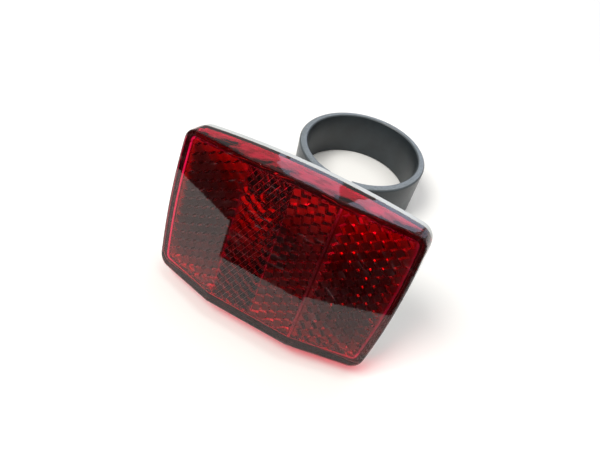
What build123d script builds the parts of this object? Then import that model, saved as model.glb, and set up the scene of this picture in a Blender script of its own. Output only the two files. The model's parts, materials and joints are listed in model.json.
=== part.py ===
"""Red rear reflector on a seat post clamp, in millimetres.

A moulded red lens with cube-corner prisms on its inner side closes a grey back plate. A black arm
is held to the plate by a stud and nut, and its tongue tilts between the two ears of a split ring
that one cross screw closes on the seat post. +Z runs up the seat post, the front faces -Y, and
the origin is on the post axis, level with the underside of the ring.
"""
import math
import os

from build123d import *

# Clamp ring
post_diameter = 31.8
ring_height = 13.3
ring_wall_front = 2.4
ring_wall_rear = 1.65
ring_edge_chamfer = 0.35
ear_thickness = 4.0
ear_root_radius = 3.0
pivot_reach = 27.0
nut_boss_diameter = 12.4
nut_boss_height = 2.0
nut_boss_floor = 2.2

# Fasteners, all of 5 mm thread
thread_diameter = 5.0
hole_clearance = 0.15
nut_across_flats = 8.0
nut_height = 4.0
nut_edge_chamfer = 0.5
nut_pocket_clearance = 0.1
washer_diameter = 10.0
washer_thickness = 1.0
clamp_screw_length = 20.0
screw_head_diameter = 9.5
screw_head_height = 3.4
screw_head_rim = 1.6
screw_crown_diameter = 6.4
cross_slot_width = 1.2
cross_slot_length = 5.0
cross_slot_depth = 1.8
stud_tail = 2.0
stud_head_diameter = 10.0
stud_head_thickness = 1.2
stud_square = 5.0
stud_square_height = 1.0
seat_clearance = 0.05
thread_clearance = 0.05

# Tilt arm
tongue_width = 6.0
tongue_side_clearance = 0.1
tongue_radius = 6.2
arm_length = 20.6
foot_width = 16.0
foot_height = 22.0
foot_thickness = 3.2
foot_corner_radius = 3.0
foot_above_stud = 6.2
neck_shelf_thickness = 3.2
neck_width_at_ears = 8.0
neck_top_gap = 0.8
stud_above_pivot = 4.0
tooth_count = 18
tooth_depth = 0.35
tooth_inner_radius = 3.4
ear_run_clearance = 1.0

# Reflector: back plate and lens
reflector_tilt = 21.0
top_half_width = 25.7
side_half_width = 24.5
top_arch = 1.6
side_height = 31.9
side_bulge = 0.95
full_height = 32.8
fold_half_width = 9.45
top_corner_radius = 3.2
bottom_corner_radius = 3.0
plate_thickness = 2.65
plate_rear_chamfer = 0.45
seam_depth = 0.5
seam_gap = 0.38
platform_height = 0.35
platform_clearance = 0.15
key_rib_width = 1.2
key_rib_height = 1.2
key_rib_clearance = 0.15
lens_depth = 7.9
lens_wall = 1.6
lens_front_wall = 1.6
wall_draft = 5.5
wing_sweep = 14.0

# Cube-corner prisms
prism_pitch = 2.5
prism_border = 0.75
prism_root = 0.35
prism_turn = 30

# How near two numbers are when they mean the same place, and how far a cutting block runs past
touch = 0.001
front_margin = 1.0
base_aligned = (Align.CENTER, Align.CENTER, Align.MIN)
top_aligned = (Align.CENTER, Align.CENTER, Align.MAX)

ring_outer_radius = (post_diameter + ring_wall_front + ring_wall_rear) / 2
ring_shift = (ring_wall_front - ring_wall_rear) / 2
hole_diameter = thread_diameter + 2 * hole_clearance
ear_inner_x = tongue_width / 2 + tongue_side_clearance
ear_outer_x = ear_inner_x + ear_thickness
pivot_z = ring_height / 2
nut_seat_x = ear_inner_x + nut_boss_floor

tilt = math.radians(reflector_tilt)
lowest_below_top = full_height * math.cos(tilt) + (plate_thickness - plate_rear_chamfer) * math.sin(tilt)
seam_reach = arm_length + plate_thickness
seam_climb = (lowest_below_top - pivot_z - seam_reach * math.sin(tilt)) / math.cos(tilt)
seam_origin = (
    0,
    -pivot_reach - seam_reach * math.cos(tilt) + seam_climb * math.sin(tilt),
    pivot_z + seam_reach * math.sin(tilt) + seam_climb * math.cos(tilt),
)
stud_drop = seam_climb - stud_above_pivot
foot_top_drop = stud_drop - foot_above_stud
# The reflector's own plane: X across, Y up along the seam, Z out through the front
seam_plane = Plane(origin=seam_origin, x_dir=(1, 0, 0), z_dir=(0, -math.cos(tilt), math.sin(tilt)))
foot_back = -plate_thickness - foot_thickness


def arm_point(height, depth):
    """Turn a height and depth in the reflector's plane into the YZ pair of the side view."""
    point = seam_plane.from_local_coords(Vector(0, height, depth))
    return (point.Y, point.Z)


def arc_disc(start, end, rise, inset):
    """Disc whose rim runs from start to end, bowed out by a rise, and then shrunk by an inset."""
    run = Vector(*end) - Vector(*start)
    outward = Vector(-run.Y, run.X).normalized()
    radius = (run.length**2 / 4 + rise**2) / (2 * rise)
    centre = (Vector(*start) + Vector(*end)) / 2 - outward * (radius - rise)
    return Pos(centre.X, centre.Y) * Circle(radius - inset)


def outline(inset):
    """Outline of the reflector in its own plane, with every edge moved inwards by an inset."""
    top = arc_disc((-top_half_width, 0), (top_half_width, 0), top_arch, inset)
    right = arc_disc((top_half_width, 0), (side_half_width, -side_height), side_bulge, inset)
    left = arc_disc((-side_half_width, -side_height), (-top_half_width, 0), side_bulge, inset)
    bend = math.atan2(full_height - side_height, side_half_width - fold_half_width)
    bend_x = fold_half_width - inset * math.tan(bend / 2)
    low = -full_height + inset
    far_x = 2 * top_half_width
    far_y = low + (far_x - bend_x) * math.tan(bend)
    right_half = [(bend_x, low), (far_x, far_y), (far_x, far_x)]
    left_half = [(-x, y) for x, y in reversed(right_half)]
    bottom = Polygon(*right_half, *left_half, align=None)
    face = top & right & left & bottom
    corners = face.vertices().sort_by(Axis.Y)
    face = fillet(corners[4:], top_corner_radius - inset)
    corners = face.vertices().sort_by(Axis.Y)
    return fillet(corners[2:4], max(bottom_corner_radius - inset, touch))


def front_profile(setback):
    """Section across the reflector under its three front panels, moved back by a setback."""
    sweep = math.radians(wing_sweep)
    reach = top_half_width + side_bulge + front_margin
    crest = lens_depth - setback
    fold = fold_half_width - setback * math.tan(sweep / 2)
    edge = crest - math.tan(sweep) * (reach - fold)
    points = [(-reach, -front_margin), (reach, -front_margin), (reach, edge), (fold, crest), (-fold, crest)]
    return Polygon(*points, (-reach, edge), align=None)


def front_block(setback):
    """Solid under the three front panels, long enough to cover the whole outline."""
    section = Plane.XZ * front_profile(setback)
    return extrude(section, full_height + top_arch + front_margin, both=True)


def cup(inset, setback):
    """Drafted block inside the outline, closed by the three front panels."""
    draft_inset = lens_depth * math.tan(math.radians(wall_draft))
    crown = Pos(0, 0, lens_depth) * outline(inset + draft_inset)
    walls = loft([outline(inset), crown], ruled=True)
    return walls & front_block(setback)


def lens_shell():
    """Outer form of the lens, hollowed from behind."""
    return cup(0, 0) - cup(lens_wall, lens_front_wall)


def hexagon(x, y, flip):
    """Corners of one hexagon of the prism lattice, at three levels of a stack of cubes, and its peak."""
    side = prism_pitch / math.sqrt(3)
    level = prism_pitch / math.sqrt(6)
    sign = -1 if flip else 1
    corners = []
    for k in range(6):
        angle = math.radians(90 + 60 * k)
        corner_x = x + sign * side * math.cos(angle)
        corner_y = y + sign * side * math.sin(angle)
        corners.append((corner_x, corner_y, level * (k % 2)))
    return corners, (x, y, 2 * level)


def spot(point):
    """Name a lattice point by its count of half pitches across and half hexagon sides up."""
    half_side = prism_pitch / math.sqrt(3) / 2
    return (round(2 * point[0] / prism_pitch), round(point[1] / half_side))


def prism_field(width, height, flip):
    """Field of cube corners on a flat root, large enough for a panel of a width and height.

    Each hexagon is three square facets that meet at right angles, like a cube seen along its
    diagonal, so light goes back the way it came. The turn stands the columns of hexagons upright.
    """
    row_step = 1.5 * prism_pitch / math.sqrt(3)
    reach = math.hypot(width, height) / 2 + prism_pitch
    columns = math.ceil(reach / prism_pitch)
    rows = math.ceil(reach / row_step)
    c, s = math.cos(math.radians(prism_turn)), math.sin(math.radians(prism_turn))
    faces = []
    rim = {}
    for row in range(-rows, rows + 1):
        for column in range(-columns, columns + 1):
            x, y = (column + 0.5 * (row % 2)) * prism_pitch, row * row_step
            across, up = abs(c * x - s * y), abs(s * x + c * y)
            if across > (width + prism_pitch) / 2 or up > (height + prism_pitch) / 2:
                continue
            corners, peak = hexagon(x, y, flip)
            for k in (1, 3, 5):
                facet = (peak, corners[k], corners[(k + 1) % 6], corners[(k + 2) % 6])
                faces.append(Face(Wire.make_polygon([Vector(*corner) for corner in facet])))
            for k in range(6):
                start, end = corners[k], corners[(k + 1) % 6]
                if (spot(end), spot(start)) in rim:
                    del rim[(spot(end), spot(start))]
                else:
                    rim[(spot(start), spot(end))] = (start, end)
    after = {spot(start): (start, end) for start, end in rim.values()}
    start, end = next(iter(rim.values()))
    base = []
    for _ in rim:
        feet = [(start[0], start[1], -prism_root), (end[0], end[1], -prism_root)]
        faces.append(Face(Wire.make_polygon([Vector(*q) for q in (start, end, feet[1], feet[0])])))
        base.append(Vector(*feet[0]))
        start, end = after[spot(end)]
    faces.append(Face(Wire.make_polygon(base)))
    return Rot(0, 0, prism_turn) * Solid(Shell(faces))


def lens():
    """Lens cap with four zones of prisms: two on the middle panel and one on each wing."""
    body = lens_shell()
    zone_outline = outline(lens_wall + prism_border)
    sweep = math.radians(wing_sweep)
    inner_depth = lens_depth - lens_front_wall
    fold = fold_half_width - lens_front_wall * math.tan(sweep / 2)
    middle_height = (top_arch - full_height) / 2
    wing_width = top_half_width - fold
    tall = full_height + top_arch
    for side in (-1, 1):
        middle_origin = (side * fold / 2, middle_height, inner_depth)
        middle = Plane(origin=middle_origin, x_dir=(1, 0, 0), z_dir=(0, 0, -1))
        wing_x = fold + wing_width / 2
        wing = Plane(
            origin=(side * wing_x, middle_height, inner_depth - math.tan(sweep) * wing_width / 2),
            x_dir=(math.cos(sweep), 0, -side * math.sin(sweep)),
            z_dir=(-side * math.sin(sweep), 0, -math.cos(sweep)),
        )
        zones = [
            (middle, fold, 0, fold),
            (wing, wing_width / math.cos(sweep), fold, top_half_width + side_bulge),
        ]
        for plane, width, near, far in zones:
            field = plane * prism_field(width, tall, side < 0)
            strip = Box(far - near, 2 * tall, 4 * lens_depth)
            strip = Pos(side * (near + far) / 2, middle_height, 0) * strip
            trim = extrude(zone_outline, lens_depth) & strip
            body += field & trim
    return body


def back_plate():
    """Plate behind the lens, with the seam groove, the stud seat and two ribs that key the arm."""
    rear = -plate_thickness
    chamfer_top = rear + plate_rear_chamfer
    rear_outline = Pos(0, 0, rear) * outline(plate_rear_chamfer)
    plate = loft([rear_outline, Pos(0, 0, chamfer_top) * outline(0)], ruled=True)
    plate += extrude(Pos(0, 0, chamfer_top) * outline(0), -seam_gap - chamfer_top)
    plate += extrude(Pos(0, 0, -seam_gap) * outline(seam_depth), seam_gap)
    plate += extrude(outline(lens_wall + platform_clearance), platform_height)
    hole = stud_square + 2 * hole_clearance
    seat_depth = stud_head_thickness + seat_clearance
    seat = Cylinder(stud_head_diameter / 2 + hole_clearance, seat_depth, align=top_aligned)
    stud_place = Pos(0, -stud_drop, 0)
    plate -= stud_place * Box(hole, hole, 4 * plate_thickness)
    plate -= stud_place * Pos(0, 0, platform_height) * seat
    rib_x = foot_width / 2 + key_rib_clearance + key_rib_width / 2
    rib_length = foot_height - 2 * foot_corner_radius
    rib = Box(key_rib_width, rib_length, key_rib_height, align=top_aligned)
    foot_middle = -foot_top_drop - foot_height / 2
    for side in (-1, 1):
        plate += Pos(side * rib_x, foot_middle, rear) * rib
    return plate


def mount_stud():
    """Stud with a flat round head in the plate and a square neck that can't turn."""
    head_top = platform_height
    shank_end = foot_back - washer_thickness - nut_height - stud_tail
    stud = Pos(0, 0, head_top) * Cylinder(stud_head_diameter / 2, stud_head_thickness, align=top_aligned)
    neck_top = head_top - stud_head_thickness
    stud += Pos(0, 0, neck_top) * Box(stud_square, stud_square, stud_square_height, align=top_aligned)
    stud += Pos(0, 0, neck_top) * Cylinder(thread_diameter / 2, neck_top - shank_end, align=top_aligned)
    return Pos(0, -stud_drop, 0) * stud


def washer():
    """Flat washer that stands on its own XY plane."""
    ring = Circle(washer_diameter / 2) - Circle(hole_diameter / 2)
    return extrude(ring, washer_thickness)


def hex_nut():
    """Hexagon nut that stands on its own XY plane, with its corners turned off at the far end."""
    corner_radius = nut_across_flats / math.sqrt(3)
    blank = Cylinder(corner_radius, nut_height, align=base_aligned)
    blank = chamfer(blank.edges().filter_by(GeomType.CIRCLE).sort_by(Axis.Z)[-1], nut_edge_chamfer)
    body = extrude(RegularPolygon(corner_radius, 6), nut_height) & blank
    return body - Cylinder(thread_diameter / 2 + thread_clearance, 2 * nut_height)


def clamp_screw():
    """Pan head screw along -Z from the XY plane under its head, with a cross recess."""
    radius = screw_head_diameter / 2
    crown = Cone(radius, screw_crown_diameter / 2, screw_head_height - screw_head_rim, align=base_aligned)
    head = Cylinder(radius, screw_head_rim, align=base_aligned) + Pos(0, 0, screw_head_rim) * crown
    slot = Box(cross_slot_length, cross_slot_width, 2 * cross_slot_depth)
    head = head - Pos(0, 0, screw_head_height) * slot - Pos(0, 0, screw_head_height) * Rot(0, 0, 90) * slot
    return head + Cylinder(thread_diameter / 2, clamp_screw_length, align=top_aligned)


def serration(face_x, side):
    """Radial grooves cut into a face square to the pivot, as one list of cutters."""
    length = tongue_radius + tooth_depth - tooth_inner_radius
    groove = extrude(Polygon((-tooth_depth, 0), (tooth_depth, 0), (0, tooth_depth), align=None), length)
    start = Plane(origin=(face_x, -pivot_reach, pivot_z), x_dir=(0, 1, 0), z_dir=(side, 0, 0))
    cutters = []
    for k in range(tooth_count):
        spoke = Rot(0, 0, 360 * k / tooth_count) * Pos(tooth_inner_radius, 0, 0)
        cutters.append(start * spoke * Rot(0, 90, 0) * Rot(0, 0, 90) * groove)
    return cutters


def tilt_arm():
    """Moulded arm: toothed tongue at the pivot, a neck of web and shelf, and a foot on the plate."""
    web_top = -stud_drop - washer_diameter / 2 - neck_top_gap
    web_low = -foot_top_drop - foot_height + foot_corner_radius
    foot_middle = foot_back + foot_thickness / 2
    stud_end = foot_back - washer_thickness - nut_height - stud_tail
    side_view = Polygon(
        (-pivot_reach, pivot_z + tongue_radius),
        (-pivot_reach, pivot_z - tongue_radius),
        arm_point(web_low, foot_back),
        arm_point(web_low, foot_middle),
        arm_point(web_top, foot_middle),
        arm_point(web_top, stud_end),
        align=None,
    )
    side_view += Pos(-pivot_reach, pivot_z) * Circle(tongue_radius)
    arm = extrude(Plane.YZ * side_view, tongue_width / 2, both=True)
    foot = RectangleRounded(foot_width, foot_height, foot_corner_radius)
    foot = extrude(Pos(0, -foot_top_drop - foot_height / 2, foot_back) * foot, foot_thickness)
    shelf_start = -pivot_reach - pivot_z - ear_run_clearance
    shelf_end = arm_point((web_top + web_low) / 2, foot_middle)[0]
    shelf = Polygon(
        (-neck_width_at_ears / 2, shelf_start),
        (-foot_width / 2, shelf_end),
        (foot_width / 2, shelf_end),
        (neck_width_at_ears / 2, shelf_start),
        align=None,
    )
    shelf = extrude(Pos(0, 0, pivot_z - neck_shelf_thickness / 2) * shelf, neck_shelf_thickness)
    arm = arm + shelf + seam_plane * foot
    arm -= Pos(0, -pivot_reach, pivot_z) * Rot(0, 90, 0) * Cylinder(hole_diameter / 2, 2 * tongue_width)
    stud_place = seam_plane * Pos(0, -stud_drop, foot_back)
    arm -= stud_place * Cylinder(hole_diameter / 2, 3 * foot_thickness)
    arm -= serration(tongue_width / 2, -1)
    arm -= serration(-tongue_width / 2, 1)
    return arm


def clamp_ring():
    """Split ring with an off-centre bore, two ears and a boss that holds the nut from turning."""
    ring = Pos(0, -ring_shift) * Circle(ring_outer_radius)
    ears = Pos(0, -(pivot_reach + pivot_z) / 2) * Rectangle(2 * ear_outer_x, pivot_reach + pivot_z)
    plan = ring + ears
    roots = [v for v in plan.vertices() if v.Y > -pivot_reach]
    plan = fillet(roots, ear_root_radius)
    plan -= Circle(post_diameter / 2)
    plan -= Pos(0, -pivot_reach) * Rectangle(2 * ear_inner_x, 2 * pivot_reach)
    body = extrude(plan, ring_height)
    side_view = Pos(0, pivot_z) * Rectangle(2 * pivot_reach, ring_height)
    side_view += Pos(-pivot_reach, pivot_z) * Circle(pivot_z)
    body = body & extrude(Plane.YZ * side_view, post_diameter, both=True)
    rims = body.edges().filter_by(GeomType.CIRCLE).filter_by(lambda e: e.radius > post_diameter / 2 - touch)
    body = chamfer(rims, ring_edge_chamfer)
    pivot = Plane(origin=(0, -pivot_reach, pivot_z), x_dir=(0, 1, 0), z_dir=(-1, 0, 0))
    boss = Cylinder(nut_boss_diameter / 2, nut_boss_height, align=base_aligned)
    body += pivot * Pos(0, 0, ear_outer_x) * boss
    pocket_corner = nut_across_flats / math.sqrt(3) + 2 * nut_pocket_clearance / math.sqrt(3)
    pocket = extrude(RegularPolygon(pocket_corner, 6), nut_height + nut_boss_height)
    body -= pivot * Pos(0, 0, nut_seat_x) * pocket
    body -= pivot * Cylinder(hole_diameter / 2, 4 * ear_outer_x)
    return body


def build_parts():
    """Every separate piece, by its node name, in the frame of the whole part."""
    screw_side = Plane(origin=(ear_outer_x, -pivot_reach, pivot_z), x_dir=(0, 1, 0), z_dir=(1, 0, 0))
    nut_side = Plane(origin=(-nut_seat_x, -pivot_reach, pivot_z), x_dir=(0, 1, 0), z_dir=(-1, 0, 0))
    stud_washer_place = Pos(0, -stud_drop, foot_back - washer_thickness)
    stud_nut_place = Pos(0, -stud_drop, foot_back - washer_thickness - nut_height)
    return {
        "lens": seam_plane * lens(),
        "back_plate": seam_plane * back_plate(),
        "mount_stud": seam_plane * mount_stud(),
        "stud_washer": seam_plane * stud_washer_place * washer(),
        "stud_nut": seam_plane * stud_nut_place * hex_nut(),
        "tilt_arm": tilt_arm(),
        "clamp_ring": clamp_ring(),
        "clamp_washer": screw_side * washer(),
        "clamp_screw": screw_side * Pos(0, 0, washer_thickness) * clamp_screw(),
        "clamp_nut": nut_side * hex_nut(),
    }


def main():
    """Write one file for each piece."""
    os.makedirs("parts", exist_ok=True)
    for name, shape in build_parts().items():
        export_step(shape, f"parts/{name}.step")


if __name__ == "__main__":
    main()
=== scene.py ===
"""Dresses a bicycle rear reflector: red prism lens, grey back plate and black seat post clamp.

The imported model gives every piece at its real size. This script gives each piece its finish, adds
the rounded lens and the fine forms that the solids leave out, and sets a floor, lamps and a camera.
"""

import json
import logging
import math
from collections.abc import Iterator
from contextlib import contextmanager
from dataclasses import dataclass
from enum import Enum

import bmesh
import bpy
import numpy as np
from mathutils import Matrix, Vector

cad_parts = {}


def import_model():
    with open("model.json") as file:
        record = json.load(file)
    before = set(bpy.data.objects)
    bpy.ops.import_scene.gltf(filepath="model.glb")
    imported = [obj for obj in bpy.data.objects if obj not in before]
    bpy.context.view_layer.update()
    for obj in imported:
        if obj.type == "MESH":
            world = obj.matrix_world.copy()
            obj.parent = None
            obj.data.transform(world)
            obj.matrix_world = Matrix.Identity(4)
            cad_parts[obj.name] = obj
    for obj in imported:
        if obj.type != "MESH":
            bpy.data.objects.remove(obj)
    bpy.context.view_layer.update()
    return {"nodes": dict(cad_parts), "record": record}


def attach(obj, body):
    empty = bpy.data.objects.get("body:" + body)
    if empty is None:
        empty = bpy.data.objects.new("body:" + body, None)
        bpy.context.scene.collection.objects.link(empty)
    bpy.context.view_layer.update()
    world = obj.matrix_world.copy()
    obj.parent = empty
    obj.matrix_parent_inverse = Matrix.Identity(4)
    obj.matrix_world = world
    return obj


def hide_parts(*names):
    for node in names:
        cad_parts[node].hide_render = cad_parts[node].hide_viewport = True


LOG = logging.getLogger("reflector")
MM = 0.001
# Corners nearer to each other than this are one corner
WELD = 0.0005 * MM
# A face larger than this is broad, and neighbours that bend by these angles make a curve
BROAD_FACE = 2.0 * MM * MM
GENTLE_BEND = (math.radians(0.5), math.radians(12.5))

Point = tuple[float, float, float]
Pair = tuple[float, float]
Faces = list[tuple[int, ...]]
Tree, Socket = bpy.types.NodeTree, bpy.types.NodeSocket
Piece, Finish = bpy.types.Object, bpy.types.Material


def linear(hex_colour: str) -> tuple[float, float, float, float]:
    """Turn an sRGB hex colour into a linear colour with full alpha.

    Args:
        hex_colour: Six hex digits after a hash.

    Returns:
        Red, green, blue and alpha as shader sockets take them.
    """
    parts = np.array([int(hex_colour[i : i + 2], 16) for i in (1, 3, 5)]) / 255
    low, high = parts / 12.92, ((parts + 0.055) / 1.055) ** 2.4
    return (*np.where(parts <= 0.04045, low, high).tolist(), 1.0)


def add_node(tree: Tree, kind: str, settings: dict | None = None, **inputs: object) -> bpy.types.Node:
    """Add one shader node with its settings, socket values and links.

    Args:
        tree: The node tree that the node joins.
        kind: The node's type name without the ShaderNode prefix.
        settings: Properties of the node itself.
        **inputs: Socket names, with underscores for spaces or in_ and a number, and a value or an
            output socket to link.

    Returns:
        The new node.
    """
    node = tree.nodes.new("ShaderNode" + kind)
    for name, value in (settings or {}).items():
        setattr(node, name, value)
    for name, value in inputs.items():
        index = name[3:] if name.startswith("in_") else None
        socket = node.inputs[int(index)] if index else node.inputs[name.replace("_", " ")]
        if isinstance(value, Socket):
            tree.links.new(value, socket)
        else:
            socket.default_value = value
    return node


def remap(tree: Tree, value: Socket, source: Pair = (0.0, 1.0), target: Pair = (0.0, 1.0)) -> Socket:
    """Turn one range of a value evenly into another, and hold it at both ends."""
    (a, b), (c, d) = source, target
    node = add_node(tree, "MapRange", Value=value, From_Min=a, From_Max=b, To_Min=c, To_Max=d)
    return node.outputs["Result"]


def noise(tree: Tree, place: Socket, size: float, detail: float, roughness: float = 0.5) -> Socket:
    """Cloudy noise around one half, with clouds about as wide as the size."""
    node = add_node(tree, "TexNoise", Vector=place, Scale=1 / size, Detail=detail, Roughness=roughness)
    return node.outputs["Fac"]


def reckon(
    tree: Tree, how: str, first: Socket, second: Socket | float = 0.0, clamp: bool = False
) -> Socket:
    """Reckon one value from two, by the operation that how names."""
    settings = {"operation": how, "use_clamp": clamp}
    return add_node(tree, "Math", settings, in_0=first, in_1=second).outputs["Value"]


def blend(tree: Tree, share: Socket, first: object, second: object) -> Socket:
    """Mix two colours by the share of the second."""
    return add_node(tree, "Mix", {"data_type": "RGBA"}, Factor=share, in_6=first, in_7=second).outputs[2]


def overlay(tree: Tree, share: Socket, first: Socket, second: Socket) -> Socket:
    """Mix two shaders by the share of the second."""
    return add_node(tree, "MixShader", Fac=share, in_1=first, in_2=second).outputs["Shader"]


def blank_material(name: str) -> tuple[Finish, Tree, bpy.types.Node]:
    """Make an empty node material.

    Args:
        name: The material's name.

    Returns:
        The material, its tree and its output node.
    """
    material = bpy.data.materials.new(name)
    material.use_nodes = True
    tree = material.node_tree
    tree.nodes.clear()
    return material, tree, tree.nodes.new("ShaderNodeOutputMaterial")


def dress(piece: Piece, material: Finish) -> None:
    """Give a piece one material in place of all it has."""
    piece.data.materials.clear()
    piece.data.materials.append(material)


@contextmanager
def editing(mesh: bpy.types.Mesh) -> Iterator[bmesh.types.BMesh]:
    """Open a mesh for editing, and write it back afterwards.

    Args:
        mesh: The mesh.

    Yields:
        The open mesh.
    """
    form = bmesh.new()
    form.from_mesh(mesh)
    yield form
    form.to_mesh(mesh)
    form.free()


def shade(mesh: bpy.types.Mesh, angle: float) -> None:
    """Shade a mesh smooth, except over sharp edges and on broad flat faces.

    A broad face stays flat when no neighbour bends away from it gently, as one on a curve does.

    Args:
        mesh: The mesh to shade.
        angle: Edges that turn by more than this many degrees stay sharp.
    """
    with editing(mesh) as form:
        for edge in form.edges:
            edge.smooth = edge.calc_face_angle(0.0) < math.radians(angle)
        for face in form.faces:
            bends = [edge.calc_face_angle(0.0) for edge in face.edges]
            curved = any(GENTLE_BEND[0] < bend < GENTLE_BEND[1] for bend in bends)
            face.smooth = curved or face.calc_area() < BROAD_FACE


@dataclass(frozen=True)
class ClearAcrylic:
    """Red PMMA, injection moulded in a polished tool: glass clear, deep red where it is thick.

    The polish gives sharp reflections. The melt leaves a slow ripple on the side walls, and use
    leaves a thin haze and fine scratches on the front.
    """

    name: str = "red_acrylic"
    tint: str = "#fff4f6"
    soak: str = "#fd00c6"
    soak_density: float = 1500.0
    shade_tint: str = "#ffcbc0"
    lamp_share: float = 0.75
    haze: float = 0.008
    haze_size: float = 14.3 * MM
    haze_colour: str = "#e8b4ba"
    # A wiping scratch is under 0.02 mm wide. It is drawn ten times as wide, so that it shows.
    scratch: float = 0.07
    scratch_width: float = 0.1923 * MM
    scratch_length: float = 6.25 * MM
    scratch_turns: tuple[Point, ...] = ((0.2, 0.4, 0.9), (0.1, 0.5, -0.5))
    ripple_size: float = 4.17 * MM
    ripple_height: float = 0.4 * MM
    edge_round: float = 0.03 * MM
    front: Point = (0.0, -0.934, 0.358)
    ior: float = 1.49
    roughness: float = 0.0

    def build(self) -> Finish:
        """Make the material.

        Returns:
            A clear material whose colour deepens with the length of the path inside it. Lamp light
            passes straight through it as red light, so the floor below gets the red glow.
        """
        material, tree, output = blank_material(self.name)
        place = add_node(tree, "TexCoord").outputs["Object"]
        facing = add_node(
            tree,
            "VectorMath",
            {"operation": "DOT_PRODUCT"},
            in_0=add_node(tree, "NewGeometry").outputs["True Normal"],
            in_1=self.front,
        ).outputs["Value"]
        body = add_node(
            tree,
            "BsdfPrincipled",
            Base_Color=linear(self.tint),
            Transmission_Weight=1.0,
            IOR=self.ior,
            Roughness=self.roughness,
            Normal=self._ripple(tree, place, facing),
        )
        dust = add_node(tree, "BsdfDiffuse", Color=linear(self.haze_colour))
        worn = self._handling(tree, place, facing)
        used = overlay(tree, worn, body.outputs["BSDF"], dust.outputs["BSDF"])
        way = add_node(tree, "LightPath").outputs["Is Shadow Ray"]
        share = remap(tree, way, target=(0.0, self.lamp_share))
        glow = add_node(tree, "BsdfTransparent", Color=linear(self.shade_tint))
        surface = overlay(tree, share, used, glow.outputs["BSDF"])
        soak = add_node(tree, "VolumeAbsorption", Color=linear(self.soak), Density=self.soak_density)
        tree.links.new(surface, output.inputs["Surface"])
        tree.links.new(soak.outputs["Volume"], output.inputs["Volume"])
        return material

    def _ripple(self, tree: Tree, place: Socket, facing: Socket) -> Socket:
        """Slow ripple of the side walls, over edges that are rounded in the shading.

        Args:
            tree: The material's tree.
            place: Object coordinates.
            facing: How squarely the face looks to the front, from -1 to 1.

        Returns:
            The socket that gives the bent normal.
        """
        strength = remap(tree, reckon(tree, "ABSOLUTE", facing), (0.2, 0.6), (0.5, 0.01))
        soft = add_node(tree, "Bevel", {"samples": 4}, Radius=self.edge_round)
        return add_node(
            tree,
            "Bump",
            Height=noise(tree, place, self.ripple_size, 0.6),
            Strength=strength,
            Distance=self.ripple_height,
            Normal=soft.outputs["Normal"],
        ).outputs["Normal"]

    def _handling(self, tree: Tree, place: Socket, facing: Socket) -> Socket:
        """Share of the front that haze and fine wiping scratches cover, and none of other faces.

        Args:
            tree: The material's tree.
            place: Object coordinates.
            facing: How squarely the face looks to the front, from -1 to 1.

        Returns:
            The socket that gives the share.
        """
        cloud = noise(tree, place, self.haze_size, 6.0, roughness=0.7)
        share = remap(tree, cloud, (0.35, 0.75), (0.0, 2 * self.haze))
        lengthwise, crosswise = 1 / self.scratch_length, 1 / self.scratch_width
        stretch = (lengthwise, crosswise, lengthwise)
        for turn in self.scratch_turns:
            lay = add_node(tree, "Mapping", Vector=place, Rotation=turn, Scale=stretch)
            line = noise(tree, lay.outputs["Vector"], 1.0, 1.0)
            share = reckon(tree, "ADD", share, remap(tree, line, (0.7, 0.76), (0.0, self.scratch)))
        return reckon(tree, "MULTIPLY", share, remap(tree, facing, (0.6, 0.9)))


@dataclass(frozen=True)
class MouldedPlastic:
    """Opaque moulded plastic: a spark-eroded grain breaks the gloss, and edges are rubbed.

    A spark-eroded grain is about 0.05 mm. It is drawn at the size that grain gives, so that it
    shows. Rubbed edges and a slow mottle show the worn colour. Upward faces turn pale with dust and
    a painted sheen of the light from above.
    """

    name: str
    colour: str
    worn: str
    roughness: float
    grain: float
    grain_strength: float
    mottle: float = 0.35
    # Share of the pale colour on upward faces: partly dust, partly a painted sheen of light from above
    dust: float = 0.0
    dust_and_sheen_colour: str = "#a9b2b8"
    grain_height: float = 0.06 * MM
    mottle_size: float = 6.25 * MM
    ior: float = 1.5

    def build(self) -> Finish:
        """Make the material.

        Returns:
            A plastic with a fine grain, a slow mottle and a roughness that wanders a little.
        """
        material, tree, output = blank_material(self.name)
        place = add_node(tree, "TexCoord").outputs["Object"]
        grain = noise(tree, place, self.grain, 3.0)
        slow = noise(tree, place, self.mottle_size, 4.0)
        bump = add_node(
            tree, "Bump", Height=grain, Strength=self.grain_strength, Distance=self.grain_height
        )
        shader = add_node(
            tree,
            "BsdfPrincipled",
            Base_Color=self._colours(tree, grain, slow),
            Roughness=remap(tree, slow, target=(self.roughness - 0.06, self.roughness + 0.08)),
            IOR=self.ior,
            Normal=bump.outputs["Normal"],
        )
        tree.links.new(shader.outputs["BSDF"], output.inputs["Surface"])
        return material

    def _colours(self, tree: Tree, grain: Socket, slow: Socket) -> Socket:
        """Plain colour, worn on edges and in the mottle, with dust and painted sheen on top.

        Args:
            tree: The material's tree.
            grain: The fine noise, which breaks up the dust and the painted sheen.
            slow: The slow noise of the mottle.

        Returns:
            The socket that gives the colour.
        """
        shape = add_node(tree, "NewGeometry").outputs
        rub = remap(tree, shape["Pointiness"], (0.52, 0.6), (0.0, 0.5))
        spread = remap(tree, slow, (0.3, 0.7), (0.0, self.mottle))
        both = reckon(tree, "ADD", rub, spread, clamp=True)
        colour = blend(tree, both, linear(self.colour), linear(self.worn))
        # Painted sheen: upward faces turn pale as if lit from above, with dust in it as well
        upward = add_node(tree, "SeparateXYZ", Vector=shape["Normal"]).outputs["Z"]
        dust_and_sheen = reckon(tree, "MULTIPLY", remap(tree, upward, (0.55, 1.0), (0.0, self.dust)), grain)
        return blend(tree, dust_and_sheen, colour, linear(self.dust_and_sheen_colour))


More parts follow.
